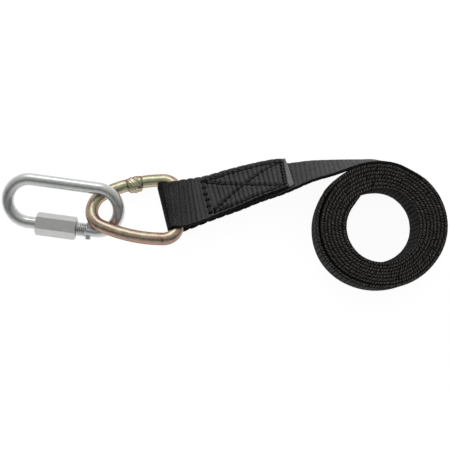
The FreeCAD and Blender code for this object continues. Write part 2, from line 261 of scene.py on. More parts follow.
def by_length(rows, step):
    """Rows of (low edge, high edge) evenly spaced along their middle line, and the lengths."""
    middle = (rows[:, :3] + rows[:, 3:6]) / 2
    lengths = np.concatenate([[0], np.cumsum(np.linalg.norm(np.diff(middle, axis=0), axis=1))])
    count = max(2, int(round(lengths[-1] / step)) + 1)
    even = np.linspace(0, lengths[-1], count)
    spaced = np.column_stack([np.interp(even, lengths, rows[:, k]) for k in range(rows.shape[1])])
    return spaced, even


# ---------------------------------------------------------------- the strap's course

def station_edges(station, above):
    """Low and high edges of a cross-section, moved up its face by a distance."""
    x, y, z, lean, turn = station
    lean = math.radians(lean)
    turn = math.radians(turn)
    flat = np.array([math.sin(turn), -math.cos(turn), 0])
    width = flat * math.cos(lean) + np.array([0, 0, math.sin(lean)])
    face = -flat * math.sin(lean) + np.array([0, 0, math.cos(lean)])
    low = np.array([x, y, z]) + face * above
    return low, low + width * WEBBING_WIDTH


def top_ply_rows():
    """From the sealed end back to the turn round the bar; it slips off the lower ply a little."""
    rows = []
    for station, slip in zip(SLAB, SLIPS):
        low, high = station_edges(station, PLY / 2 + PLY_GAP)
        shift = unit(low - high) * slip
        rows.append(np.concatenate([low + shift, high + shift]))
    return rows[::-1]


def slope(angles, values, index):
    """Finite-difference slope of a table at one of its rows."""
    low = max(0, index - 1)
    high = min(len(angles) - 1, index + 1)
    return (values[high] - values[low]) / (angles[high] - angles[low])


def periodic(table, part):
    """Smooth value of a table of (degrees, radius)."""
    angles = [row[0] for row in table]
    values = [row[1] for row in table]
    index = max(0, min(len(angles) - 2, int(np.searchsorted(angles, part, "right")) - 1))
    span = angles[index + 1] - angles[index]
    t = (part - angles[index]) / span
    before = slope(angles, values, index) * span
    after = slope(angles, values, index + 1) * span
    return ((2 * t ** 3 - 3 * t ** 2 + 1) * values[index] + (t ** 3 - 2 * t ** 2 + t) * before
            + (3 * t ** 2 - 2 * t ** 3) * values[index + 1] + (t ** 3 - t ** 2) * after)


def coil_face(wound):
    """Radius of the coil's outer face after so many degrees."""
    turn = int(wound // 360)
    part = wound - 360 * turn
    if turn == 0:
        return periodic(TURN_1, part)
    if turn >= 7:
        return periodic(TURN_8, part)
    share = (turn - 1) / 5
    return periodic(TURN_2, part) * (1 - share) + periodic(TURN_7, part) * share


def foot_reach(wound):
    """How far a turn's foot stands out from its top edge, which closes the gaps below."""
    if wound < 360:
        share = (wound - FOOT_FROM) / (FOOT_TO - FOOT_FROM)
        return FOOT_OUT * math.sin(math.pi * share) ** 1.2 if 0 < share < 1 else 0.0
    gap = coil_face(wound - 360) - PLY - coil_face(wound)
    return max(0.0, gap) + max(0.0, foot_reach(wound - 360) - 0.3)


def coil_swell(wound):
    """How much thicker the ply is, to meet the turns beside it, except round the open gap."""
    swell = COIL_SWELL
    if wound < 720 and GAP_FROM < wound % 360 < GAP_TO:
        return swell
    if wound >= 360:
        swell = max(swell, coil_face(wound - 360) - PLY - coil_face(wound))
    if wound + 360 <= COIL_TURNED:
        swell = max(swell, coil_face(wound) - PLY - coil_face(wound + 360))
    return min(swell, 3 * COIL_SWELL)


def coil_row(wound):
    """Low and high edges of the webbing at a place in the coil, and how much thicker it is."""
    angle = math.radians(COIL_START - wound)
    out = np.array([math.cos(angle), math.sin(angle), 0])
    radius = coil_face(wound) - PLY / 2
    depth = min(1.0, max(0.0, (wound - LEAN_FROM) / LEAN_FROM)) ** 1.5
    lean = LEAN * depth * math.cos(angle - LEAN_TOWARD)
    fade = min(1.0, max(0.0, (wound - FOOT_FADE_FROM) / FOOT_FADE_OVER))
    foot = foot_reach(wound) * (1 - fade)
    wander = 0.12 * math.sin(wound * 0.031) + 0.08 * math.sin(wound * 0.083 + 1)
    tuck = TUCK * max(0.0, 1 - (COIL_TURNED - wound) / TUCKED)
    low = COIL_CENTRE + out * (radius + lean + foot + tuck) + np.array([0, 0, 0.05])
    high = COIL_CENTRE + out * (radius + tuck) + np.array([0, 0, WEBBING_WIDTH - 0.15 + wander])
    return np.concatenate([low, high, [coil_swell(wound) - tuck]])


def strap_rows():
    """The whole course of the webbing, from its sealed end to its free end, in two parts."""
    rows = top_ply_rows()
    rows += [np.concatenate([from_ring(low), from_ring(high)]) for low, high in FOLD]
    for station in SLAB:
        rows.append(np.concatenate(station_edges(station, -PLY / 2 - PLY_GAP)))
    for station in LEAD:
        rows.append(np.concatenate(station_edges(station, 0)))
    rows += [coil_row(k * COIL_JOIN)[:6] for k in range(4)]
    near = smooth_path(rows, PATH_STEPS)
    near = near[:len(near) - 2 * PATH_STEPS]
    steps = np.linalg.norm(np.diff(near[:, :3] + near[:, 3:6], axis=0), axis=1) / 2
    first = int(np.searchsorted(np.cumsum(steps), END_TRIM)) + 1
    far = np.array([coil_row(w) for w in np.arange(COIL_JOIN, COIL_TURNED + 1, COIL_ROW)])
    return near[first:], far


# ---------------------------------------------------------------- meshes

def new_object(name, data):
    """An object of the scene that holds a mesh, a light or a camera."""
    item = bpy.data.objects.new(name, data)
    bpy.context.scene.collection.objects.link(item)
    return item


def new_piece(name, points, faces, material):
    """A smooth-shaded object from layout points in millimetres."""
    mesh = bpy.data.meshes.new(name)
    mesh.from_pydata([tuple(p) for p in (np.asarray(points) + HOME) * MM], [], faces)
    mesh.validate()
    mesh.update()
    shape = bmesh.new()
    shape.from_mesh(mesh)
    bmesh.ops.recalc_face_normals(shape, faces=shape.faces)
    shape.to_mesh(mesh)
    shape.free()
    mesh.polygons.foreach_set("use_smooth", [True] * len(mesh.polygons))
    mesh.materials.append(material)
    return new_object(name, mesh)


def add_map(piece, name, rows):
    """A UV map from one pair of numbers for each vertex."""
    mesh = piece.data
    index = np.zeros(len(mesh.loops), int)
    mesh.loops.foreach_get("vertex_index", index)
    layer = mesh.uv_layers.new(name=name)
    layer.data.foreach_set("uv", rows[index].astype(np.float32).ravel())


def add_shade(piece, values):
    """Painted shade for each vertex, a number that the material reads; more of it darkens the
    colour.
    """
    layer = piece.data.attributes.new("shade", "FLOAT", "POINT")
    layer.data.foreach_set("value", values.astype(np.float32))


def tube_faces(rings, size, closed):
    """Quads of a tube; an open one gets a face at each end."""
    faces = []
    for i in range(rings if closed else rings - 1):
        base = i * size
        after = (i + 1) % rings * size
        for j in range(size):
            k = (j + 1) % size
            faces.append((base + j, base + k, after + k, after + j))
    if not closed:
        faces.append(tuple(range(size)))
        faces.append(tuple((rings - 1) * size + j for j in range(size)))
    return faces


class Band:
    """A length of webbing: where it runs, how wide it is and which way it faces."""

    def __init__(self, rows, start, step):
        spaced, lengths = by_length(rows, step)
        self.start = start
        self.lengths = lengths + start
        self.low = spaced[:, :3]
        width = spaced[:, 3:6] - self.low
        self.span = np.linalg.norm(width, axis=1)
        self.wide = unit(width)
        middle = self.low + width / 2
        self.along = unit(np.gradient(middle, axis=0))
        self.face = unit(np.cross(self.along, self.wide))
        self.swell = spaced[:, 6] if spaced.shape[1] > 6 else np.zeros(len(lengths))
        self.end = self.lengths[-1]

    def at(self, rows, length):
        """A row of numbers read at a length."""
        return np.array([np.interp(length, self.lengths, rows[:, k]) for k in range(3)])

    def point(self, length, across, above):
        """The place at a length, a distance across and a height over the middle plane."""
        span = np.interp(length, self.lengths, self.span)
        low = self.at(self.low, length)
        wide = self.at(self.wide, length)
        return low + wide * (across / WEBBING_WIDTH * span) + self.at(self.face, length) * above


def rib_height(lengths):
    """Crossways ribs, 0 in a groove and 1 on a crown, finer toward the turn round the bar."""
    rib = np.abs(np.sin(math.pi * lengths / RIB_PITCH)) ** 0.6
    fine = np.abs(np.sin(math.pi * lengths / (RIB_PITCH * FINE_RIBS))) ** 0.6
    near_bar = np.exp(-((lengths - TURN_AT) / FINE_REACH) ** 4)
    rib = rib * (1 - near_bar) + (0.56 + 0.19 * rib + 0.25 * fine) * near_bar
    pulled = 0.65 * np.exp(-((lengths - FRONT_SEAM) / 2.4) ** 2)
    taut = 0.55 * np.clip((lengths - TAUT_FROM) / 12, 0, 1) * (lengths < TAUT_TO)
    return 1 - (1 - rib) * (1 - pulled) * (1 - taut)


def band_outline(across):
    """Cross-section: share of the width, reach past the side, height as a share of half a ply."""
    shares = np.linspace(0, 1, across + 1)
    edge = SELVEDGE / WEBBING_WIDTH
    inner = shares * (1 - 2 * edge) + edge
    bend = [(math.sin(a), math.cos(a)) for a in np.radians([30, 60, 90, 120, 150])]
    outline = [(v, 0.0, 1.0) for v in inner]
    outline += [(1 - edge, out, up) for out, up in bend]
    outline += [(v, 0.0, -1.0) for v in inner[::-1]]
    outline += [(edge, -out, -up) for out, up in bend]
    return np.array(outline)


def band_faces(count, size):
    """Quads along a band, and the rows of quads that close its two ends."""
    faces = tube_faces(count, size, True)[:(count - 1) * size]
    for base in (0, (count - 1) * size):
        for j in range(size // 2 - 1):
            faces.append((base + j, base + j + 1, base + size - 2 - j, base + size - 1 - j))
    return faces


def webbing(name, band, across, depth, material, seams=None, painted_shade_offset=0.0):
    """A closed ribbed band with woven edges, drawn in along its seams, with painted shade in its
    rib grooves and at the turn round the bar.
    """
    outline = band_outline(across)
    count = len(band.lengths)
    size = len(outline)
    rib = rib_height(band.lengths)
    cusp = 1 - np.abs(np.sin(math.pi * band.lengths / SCALLOP_PITCH)) ** 0.7
    lumps = np.abs(np.sin(math.pi * band.lengths / BEAD_PITCH))
    place = np.zeros((count, size, 3))
    shade = np.zeros((count, size))
    for j, (v, out, up) in enumerate(outline):
        calm = 1.0
        if out == 0:                            # the ribs fade toward the woven edges
            inset = min(v, 1 - v) * WEBBING_WIDTH
            calm = min(1.0, max(0.3, (inset - 0.5) / 1.2))
        thick = PLY / 2 + band.swell - depth * (1 - rib) * calm
        side = out * (SELVEDGE - SCALLOP * cusp + BEAD * lumps)
        drawn = SCALLOP * cusp * np.sign(v - 0.5) * max(0.0, 1 - min(v, 1 - v) * 12)
        place[:, j] = (band.low + band.wide * (band.span * v + side - drawn)[:, None]
                       + band.face * (thick * up)[:, None])
        # Painted shade: the colour is darkened in the rib grooves, plus any offset of painted
        # shade.
        shade[:, j] = (1 - rib) * calm * min(1.0, depth / RIB_DEPTH + 0.1) + painted_shade_offset
    flat = place.reshape(-1, 3)
    # Painted shade at the turn round the bar, darkest at the fold's edge.
    fold_painted_shade = np.exp(-((band.lengths - TURN_AT) / 3.6) ** 2) * 0.7
    fold_painted_shade += np.exp(-((band.lengths - TURN_AT) / 16.0) ** 4) * 0.2
    painted_shade = (shade + fold_painted_shade[:, None]).ravel()
    if seams is not None:
        flat, dark = draw_in(flat, band, outline, seams)
        painted_shade = painted_shade + dark
    piece = new_piece(name, flat, band_faces(count, size), material)
    lateral = outline[:, 0] * WEBBING_WIDTH + outline[:, 1] * SELVEDGE
    height = outline[:, 2] * PLY / 2
    lengths = np.repeat(band.lengths, size)
    add_map(piece, "weave", np.column_stack([lengths, np.tile(lateral, count)]))
    add_map(piece, "edge", np.column_stack([lengths, np.tile(height, count)]))
    add_shade(piece, painted_shade)
    return piece


# ---------------------------------------------------------------- sewing

def search_tree(points):
    """Search tree over points."""
    tree = kdtree.KDTree(len(points))
    for index, point in enumerate(points):
        tree.insert(Vector(point), index)
    tree.balance()
    return tree


class Seams:
    """The box and cross seams, as points on the upper and the lower face of the two plies."""

    def __init__(self, band):
        self.band = band
        self.stitches = []
        self.holes = []
        lines = [[], []]
        pricks = [[], []]
        for corners, pitch in SEAMS:
            spots = self.needle_spots(corners, pitch)
            crossing = abs(corners[1][0] - corners[0][0]) < 1.0
            self.stitches += list(zip(spots[:-1], spots[1:]))
            for s, v in spots:
                self.holes.append((band.at(band.along, s), crossing))
                self.both_sides(pricks, s, v)
            for (s0, v0), (s1, v1) in zip(spots[:-1], spots[1:]):
                for t in np.linspace(0, 1, SEAM_SAMPLES):
                    self.both_sides(lines, s0 + (s1 - s0) * t, v0 + (v1 - v0) * t)
        self.lines = [search_tree(points) for points in lines]
        self.pricks = [search_tree(points) for points in pricks]

    def needle_spots(self, corners, pitch):
        """Where the needle goes in along a seam, with a small uneven slip."""
        (s0, v0), (s1, v1) = [(s - END_TRIM, v) for s, v in corners]
        count = int(round(math.hypot(s1 - s0, v1 - v0) / pitch))
        spots = []
        for k in range(count + 1):
            t = k / count
            slip = NEEDLE_SLIP * math.sin(k * 2.3 + s0)
            spots.append((s0 + (s1 - s0) * t + slip, v0 + (v1 - v0) * t + slip * 0.5))
        return spots

    def both_sides(self, sets, s, v):
        """Adds a place on the upper face and the one below it."""
        sets[0].append(self.band.point(s, v, PLY / 2))
        sets[1].append(self.band.point(s, v, LOWER_FACE))

    def sink(self, point, side):
        """How deep the face is drawn in at a point."""
        _, _, distance = self.lines[side].find(Vector(point))
        if distance > SEAM_REACH:
            return 0.0
        groove = SEAM_DEPTH * math.exp(-(distance / 0.8) ** 2)
        pillow = PILLOW * math.exp(-((distance - PILLOW_OFF) / 0.8) ** 2)
        hole, index, _ = self.pricks[side].find(Vector(point))
        ahead, crossing = self.holes[index]
        away = np.array(point) - np.array(hole)
        lengthways = float(np.dot(away, ahead))
        crossways = math.sqrt(max(0.0, float(np.dot(away, away)) - lengthways ** 2))
        spread = CROSS_DENT if crossing else LONG_DENT
        dent = HOLE_DEPTH * math.exp(-(lengthways / spread[0]) ** 2 - (crossways / spread[1]) ** 2)
        return max(groove, dent) - pillow


def draw_in(points, band, outline, seams):
    """Points pulled toward the middle of the sewn plies near the seams, and the painted shade that
    darkens their holes and grooves and a little painted light over the rest of the sewn face.
    """
    size = len(outline)
    points = points.copy()
    dark = np.zeros(len(points))
    last = np.searchsorted(band.lengths, UPPER_SEWN_TO)
    for i in range(len(band.lengths)):
        upper = i < last
        lower = not upper and LOWER_SEWN[0] < band.low[i][0] < LOWER_SEWN[1]
        if not upper and not lower:
            continue
        for j in range(size):
            if outline[j][2] <= 0:
                continue
            index = i * size + j
            depth = seams.sink(points[index], 0 if upper else 1)
            points[index] -= band.face[i] * depth
            # Painted shade in the needle holes and seam grooves; elsewhere on the sewn face a
            # little painted light.
            dark[index] = min(1.7, max(-0.2, 1.9 * depth - 0.35))
    return points, dark


def stitches(name, band, seams, side, material):
    """Every stitch on one face: short twisted threads that dive in at both ends."""
    points = []
    faces = []
    shape = tube_faces(THREAD_STEPS, THREAD_SIDES, False)
    for (s0, v0), (s1, v1) in seams.stitches:
        rows = []
        for t in np.linspace(0, 1, THREAD_STEPS):
            drop = THREAD_RISE * math.sin(math.pi * t) ** 0.55 - THREAD_DIP
            above = PLY / 2 + drop if side == 0 else LOWER_FACE - drop
            rows.append(band.point(s0 + (s1 - s0) * t, v0 + (v1 - v0) * t, above))
        rows = np.array(rows)
        heading = unit(np.gradient(rows, axis=0))
        face = band.at(band.face, s0)
        beside = unit(np.cross(heading, face))
        over = np.cross(beside, heading)
        base = len(points)
        for i in range(THREAD_STEPS):
            for j in range(THREAD_SIDES):
                angle = 2 * math.pi * j / THREAD_SIDES
                radius = THREAD_RADIUS * (1 + 0.14 * math.cos(3 * angle - i * 1.1))
                offset = beside[i] * math.cos(angle) + over[i] * math.sin(angle)
                points.append(rows[i] + offset * radius)
        faces += [tuple(base + k for k in corners) for corners in shape]
    return new_piece(name, points, faces, material)


def sealed_end(name, band, material):
    """Crust of melted webbing on the cut end, wider toward the high edge."""
    points = []
    along = band.along[0]
    face = band.face[0]
    for i in range(CRUST_STATIONS):
        t = i / (CRUST_STATIONS - 1)
        v = -0.6 + t * (WEBBING_WIDTH + 0.3)
        ripple = 0.07 * math.sin(v * 2.9) + 0.05 * math.sin(v * 7.3 + 1)
        lip = (0.55 + 2.0 * t ** 0.8 + ripple) * min(1.0, 0.45 + 12 * (1 - t))
        thick = PLY / 2 * (1.04 - 0.12 * t) + 0.04 * math.sin(v * 5.1)
        taper = min(1.0, 0.5 + 10 * min(t, 1 - t))
        start = band.point(0.0, v, 0.0)
        for j in range(CRUST_SIDES):
            angle = 2 * math.pi * j / CRUST_SIDES
            reach = math.cos(angle)
            rise = math.sin(angle)
            out = lip * max(0.0, reach) ** 0.8 if reach > 0 else 0.55 * reach
            crease = 0.05 * math.sin(angle * 5 + v * 3.7)
            above = (1 if rise >= 0 else -1) * (thick * taper * abs(rise) ** 0.6 + crease)
            points.append(start - along * out + face * above)
    return new_piece(name, points, tube_faces(CRUST_STATIONS, CRUST_SIDES, False), material)


# ---------------------------------------------------------------- ring

def bow_centre(end, end_radius, corner, radius):
    """Centre of the arc that runs from the nose to a corner above it."""
    to_end = radius - end_radius
    to_corner = radius - CORNER_RADIUS
    apart = math.dist(end, corner)
    along = (to_end ** 2 - to_corner ** 2 + apart ** 2) / (2 * apart)
    aside = math.sqrt(to_end ** 2 - along ** 2)
    ux = (corner[0] - end[0]) / apart
    uy = (corner[1] - end[1]) / apart
    return (end[0] + ux * along + uy * aside, end[1] + uy * along - ux * aside)


def half_ring(end, end_radius, bar, radius):
    """Arcs (centre, radius, first and last angle) from the bar's end to the nose's tip."""
    corner = (-CORNER_RADIUS, bar)
    bow = bow_centre(end, end_radius, corner, radius)
    at_corner = math.atan2(corner[1] - bow[1], corner[0] - bow[0])
    at_end = math.atan2(end[1] - bow[1], end[0] - bow[0])
    return [(corner, CORNER_RADIUS, 0.0, at_corner), (bow, radius, at_corner, at_end),
            (end, end_radius, at_end, math.pi)]


def trace(arcs, step):
    """Points along a row of arcs."""
    points = []
    for centre, radius, first, last in arcs:
        count = max(2, int(abs(last - first) * radius / step))
        for angle in np.linspace(first, last, count, endpoint=False):
            points.append((centre[0] + radius * math.cos(angle),
                           centre[1] + radius * math.sin(angle)))
    return points


def ring_line(step):
    """The closed centre line of the ring in its own plane."""
    shoulder = (-NOSE_REACH + SHOULDER_RADIUS - NOSE_RADIUS, 0.0)
    high = trace(half_ring(shoulder, SHOULDER_RADIUS, HIGH_BAR, HIGH_BOW), step)
    low = trace(half_ring((-NOSE_REACH, 0.0), NOSE_RADIUS, LOW_BAR, LOW_BOW), step)
    low = [(x, -y) for x, y in low[1:][::-1]]
    count = int((HIGH_BAR + LOW_BAR) / step)
    bar = [(0.0, y) for y in np.linspace(-LOW_BAR, HIGH_BAR, count, endpoint=False)]
    return np.array(high + [(-NOSE_REACH - NOSE_RADIUS, 0.0)] + low + bar)


def corner_lift(y):
    """How far the upper side rises toward its corner."""
    return CORNER_LIFT * max(0.0, min(1.0, (y - LIFT_FROM) / LIFT_OVER))


def weld(x, y):
    """How full the bead is at a place on the centre line, and how deep in its end creases."""
    if y <= 0:
        return 0.0, 0.0
    off = abs((x + WELD_AT) / WELD_HALF)
    return max(0.0, 1 - off ** 2) ** 0.5, math.exp(-((off - 1.0) / 0.09) ** 2)


def ring_rod(name, material):
    """The welded rod, with its crumpled bead, the creases and nick of its making, and painted
    shade in these and in the bead's hollows.
    """
    line = ring_line(RING_STEP)
    count = len(line)
    ahead = unit(np.roll(line, -1, axis=0) - np.roll(line, 1, axis=0))
    outward = np.column_stack([ahead[:, 1], -ahead[:, 0]])
    if np.mean(np.sum(outward * (line - line.mean(axis=0)), axis=1)) < 0:
        outward = -outward
    turn = rotation(RING_TURN)
    points = []
    wrap = []
    painted_shade = []
    run = np.concatenate([[0], np.cumsum(np.linalg.norm(np.diff(line, axis=0), axis=1))])
    for i in range(count):
        x, y = line[i]
        bead, seam = weld(x, y)
        nick = math.exp(-((x + NICK_AT) / 0.3) ** 2) if y < -6 else 0.0
        lift = corner_lift(y)
        for j in range(RING_SIDES):
            angle = 2 * math.pi * j / RING_SIDES
            side = math.cos(angle)
            rise = math.sin(angle)
            spot = Vector((x * 0.75, y * 0.75, 0.0)) + Vector((side * 1.5, rise * 1.5, rise))
            lumps = noise.noise(spot * 1.1) * 0.62 + noise.noise(spot * 2.1) * 0.26
            cut = nick * max(0.0, math.cos(angle - NICK_FACING)) ** 24
            radius = RING_ROD / 2 + WELD_SWELL * bead + lumps * bead - WELD_CREASE * seam
            radius += 0.012 * noise.noise(spot * 2.0) - NICK_DEPTH * cut
            across = outward[i] * (side * radius - WELD_SINK * bead)
            local = np.array([x + across[0], y + across[1], rise * radius + lift])
            points.append(turn @ local + BAR_CENTRE)
            wrap.append((run[i], angle * RING_ROD / 2))
            # Painted shade in the bead's end creases, the nick and the bead's hollows.
            painted_shade.append(min(1.0, seam * 0.9 + cut + max(0.0, -lumps) * bead * 1.2))
    piece = new_piece(name, points, tube_faces(count, RING_SIDES, True), material)
    add_map(piece, "wrap", np.array(wrap))
    add_shade(piece, np.array(painted_shade))
    return piece


# ---------------------------------------------------------------- materials

def new_material(name):
    """A node material with its Principled shader."""
    material = bpy.data.materials.new(name)
    material.use_nodes = True
    return material, material.node_tree, material.node_tree.nodes["Principled BSDF"]


def add_node(tree, kind, **values):
    """A node with some of its inputs or properties set."""
    node = tree.nodes.new(kind)
    for key, value in values.items():
        if key in node.inputs:
            node.inputs[key].default_value = value
        else:
            setattr(node, key, value)
    return node


def ramp(tree, source, stops):
    """A colour ramp fed by a socket."""
    node = tree.nodes.new("ShaderNodeValToRGB")
    tree.links.new(source, node.inputs["Fac"])
    while len(node.color_ramp.elements) < len(stops):
        node.color_ramp.elements.new(0.5)
    for element, (position, colour) in zip(node.color_ramp.elements, stops):
        element.position = position
        element.color = (*colour, 1)
    return node.outputs["Color"]


def calc(tree, operation, first, second=None, third=None):
    """The result of a Math node; each input is a socket or a number."""
    node = tree.nodes.new("ShaderNodeMath")
    node.operation = operation
    for index, value in enumerate((first, second, third)):
        if value is None:
            continue
        if isinstance(value, (int, float)):
            node.inputs[index].default_value = value
        else:
            tree.links.new(value, node.inputs[index])
    return node.outputs["Value"]


def blend_colour(tree, share, first, second, mode="MIX"):
    """Two colours mixed by a share; each is a socket or red, green and blue."""
    node = tree.nodes.new("ShaderNodeMix")
    node.data_type = "RGBA"
    node.blend_type = mode
    for name, value in (("Factor_Float", share), ("A_Color", first), ("B_Color", second)):
        socket = next(item for item in node.inputs if item.identifier == name)
        if isinstance(value, tuple):
            socket.default_value = (*value, 1)
        elif isinstance(value, (int, float)):
            socket.default_value = value
        else:
            tree.links.new(value, socket)
    return next(item for item in node.outputs if item.identifier == "Result_Color")


def split(tree, source):
    """X, Y and Z of a vector socket."""
    node = tree.nodes.new("ShaderNodeSeparateXYZ")
    tree.links.new(source, node.inputs["Vector"])
    return node.outputs["X"], node.outputs["Y"], node.outputs["Z"]


def grey(tree, value):
    """A grey colour from one number."""
    node = tree.nodes.new("ShaderNodeCombineColor")
    for name in ("Red", "Green", "Blue"):
        tree.links.new(value, node.inputs[name])
    return node.outputs["Color"]


def scaled(tree, source, scale):
    """A vector socket multiplied along each axis."""
    node = add_node(tree, "ShaderNodeMapping", Scale=scale)
    tree.links.new(source, node.inputs["Vector"])
    return node.outputs["Vector"]


def grain(tree, source, scale, detail, rough=0.6):
    """Noise read from a vector socket."""
    node = add_node(tree, "ShaderNodeTexNoise", Scale=scale, Detail=detail, Roughness=rough)
    tree.links.new(source, node.inputs["Vector"])
    return node.outputs["Fac"]


def add_bump(tree, shader, height, distance):
    """A bump from a height of 0 to 1 that stands for a distance in millimetres."""
    bump = add_node(tree, "ShaderNodeBump", Strength=1.0, Distance=distance * MM)
    tree.links.new(height, bump.inputs["Height"])
    tree.links.new(bump.outputs["Normal"], shader.inputs["Normal"])


def webbing_material(name, flecks, gloss):
    """Black ribbed polyester: lengthways yarns over crossways ribs, flecked woven edges."""
    material, tree, shader = new_material(name)
    weave = add_node(tree, "ShaderNodeUVMap", uv_map="weave").outputs["UV"]
    edge = add_node(tree, "ShaderNodeUVMap", uv_map="edge").outputs["UV"]
    along, across, _ = split(tree, weave)
    _, height, _ = split(tree, edge)
    shade = add_node(tree, "ShaderNodeAttribute", attribute_name="shade").outputs["Fac"]

    row = calc(tree, "FLOOR", calc(tree, "DIVIDE", along, RIB_PITCH))
    shift = calc(tree, "MULTIPLY", calc(tree, "PINGPONG", row, 1.0), YARN_PITCH / 2)
    lateral = calc(tree, "ADD", across, shift)
    yarn = calc(tree, "SINE", calc(tree, "MULTIPLY", lateral, math.pi / YARN_PITCH))
    yarn = calc(tree, "ABSOLUTE", yarn)
    fuzz = grain(tree, scaled(tree, weave, (0.7, 2.6, 1.0)), 1.0, 4.0, 0.65)
    patch = grain(tree, weave, 0.11, 2.0, 0.5)

    # The shade attribute is painted shade: it darkens the colour in rib grooves, at the turn round
    # the bar, in the seams and over the coil.
    crown = calc(tree, "SUBTRACT", 1.0, shade)
    level = calc(tree, "MULTIPLY_ADD", crown, 0.55, calc(tree, "MULTIPLY", fuzz, 0.95))
    level = calc(tree, "MULTIPLY_ADD", yarn, 0.10, level)
    level = calc(tree, "MULTIPLY_ADD", patch, 0.25, calc(tree, "SUBTRACT", level, 0.40))
    colour = ramp(tree, level, [(0.15, (0.0015, 0.0015, 0.0016)), (0.48, (0.014, 0.014, 0.0142)),
                                (0.84, (0.080, 0.080, 0.0802))])

    turned = calc(tree, "MULTIPLY", along, 2 * math.pi / FLECK_PITCH)
    turned = calc(tree, "MULTIPLY_ADD", height, 3.2, turned)
    turned = calc(tree, "MULTIPLY_ADD", patch, 12.0, turned)
    turned = calc(tree, "MULTIPLY_ADD", grain(tree, edge, 0.42, 2.0, 0.6), 15.0, turned)
    turned = calc(tree, "MULTIPLY_ADD", fuzz, 6.0, turned)
    bead = calc(tree, "MULTIPLY_ADD", calc(tree, "SINE", turned), 0.5, 0.5)
    crest = calc(tree, "COSINE", calc(tree, "MULTIPLY", height, math.pi / PLY))
    crest = calc(tree, "MAXIMUM", 0.0, crest)
    fleck = calc(tree, "MULTIPLY", calc(tree, "MULTIPLY", bead, crest), fuzz)
    speck = ramp(tree, fleck, [(0.12, flecks[0]), (0.40, flecks[1])])
    rim = calc(tree, "ABSOLUTE", calc(tree, "SUBTRACT", across, WEBBING_WIDTH / 2))
    rim = calc(tree, "MULTIPLY_ADD", rim, 2.5, -2.5 * (WEBBING_WIDTH / 2 - 0.75))
    rim = calc(tree, "SMOOTH_MIN", 1.0, calc(tree, "MAXIMUM", 0.0, rim), 0.1)
    tree.links.new(blend_colour(tree, rim, colour, speck), shader.inputs["Base Color"])

    rough = calc(tree, "MULTIPLY_ADD", fuzz, -0.25, 0.72)
    tree.links.new(rough, shader.inputs["Roughness"])
    shader.inputs["Specular IOR Level"].default_value = gloss
    relief = calc(tree, "MULTIPLY_ADD", fuzz, 0.6, calc(tree, "MULTIPLY", yarn, 0.5))
    add_bump(tree, shader, relief, 0.16)
    return material


def thread_material():
    """Bonded black thread, a little glossier than the webbing."""
    material, tree, shader = new_material("sewing_thread")
    place = add_node(tree, "ShaderNodeTexCoord").outputs["Object"]
    fibre = grain(tree, place, 3500, 3.0)
    colour = ramp(tree, fibre, [(0.3, (0.006, 0.006, 0.0062)), (0.75, (0.034, 0.034, 0.035))])
    tree.links.new(colour, shader.inputs["Base Color"])
    shader.inputs["Roughness"].default_value = 0.45
    shader.inputs["Specular IOR Level"].default_value = 0.35
    add_bump(tree, shader, fibre, 0.05)
    return material


def crust_material():
    """Melted and set webbing: grey, ridged and glossy."""
    material, tree, shader = new_material("melted_webbing")
    place = add_node(tree, "ShaderNodeTexCoord").outputs["Object"]
    streak = grain(tree, scaled(tree, place, (2600, 500, 500)), 1.0, 4.0)
    colour = ramp(tree, streak, [(0.3, (0.06, 0.06, 0.061)), (0.7, (0.15, 0.15, 0.152))])
    tree.links.new(colour, shader.inputs["Base Color"])
    shader.inputs["Roughness"].default_value = 0.33
    shader.inputs["Specular IOR Level"].default_value = 0.6
    add_bump(tree, shader, streak, 0.09)
    return material


def bright_zinc():
    """Drawn rod with bright zinc plating: bluish mottle, fine pits and drawing lines."""
    material, tree, shader = new_material("bright_zinc")
    place = add_node(tree, "ShaderNodeTexCoord").outputs["Object"]
    mottle = grain(tree, place, 420, 4.0)
    pits = grain(tree, place, 2300, 3.0, 0.7)
    lines = grain(tree, scaled(tree, place, (160, 2400, 2400)), 1.0, 2.0)
    colour = ramp(tree, mottle, [(0.3, (0.52, 0.545, 0.545)), (0.5, (0.60, 0.615, 0.60)),
                                 (0.7, (0.66, 0.67, 0.655))])
    tree.links.new(colour, shader.inputs["Base Color"])
    shader.inputs["Metallic"].default_value = 1.0
    rough = calc(tree, "MULTIPLY_ADD", mottle, 0.22, calc(tree, "MULTIPLY_ADD", pits, 0.10, 0.16))
    tree.links.new(rough, shader.inputs["Roughness"])
    relief = calc(tree, "MULTIPLY_ADD", pits, 0.7, calc(tree, "MULTIPLY", lines, 0.5))
    add_bump(tree, shader, relief, 0.035)
    return material


def satin_zinc():
    """Dull zinc on the nut, with faint scuffs along and across its flats."""
    material, tree, shader = new_material("satin_zinc")
    place = add_node(tree, "ShaderNodeTexCoord").outputs["Object"]
    mottle = grain(tree, place, 520, 5.0, 0.65)
    scuffs = grain(tree, scaled(tree, place, (260, 2900, 2900)), 1.0, 3.0, 0.7)
    both = calc(tree, "MULTIPLY_ADD", mottle, 0.6, calc(tree, "MULTIPLY", scuffs, 0.4))
    colour = ramp(tree, both, [(0.32, (0.50, 0.51, 0.495)), (0.5, (0.585, 0.59, 0.575)),
                               (0.68, (0.65, 0.655, 0.64))])
    tree.links.new(colour, shader.inputs["Base Color"])
    shader.inputs["Metallic"].default_value = 1.0
    rough = calc(tree, "MULTIPLY_ADD", both, 0.3, 0.30)
    tree.links.new(rough, shader.inputs["Roughness"])
    add_bump(tree, shader, both, 0.04)
    return material


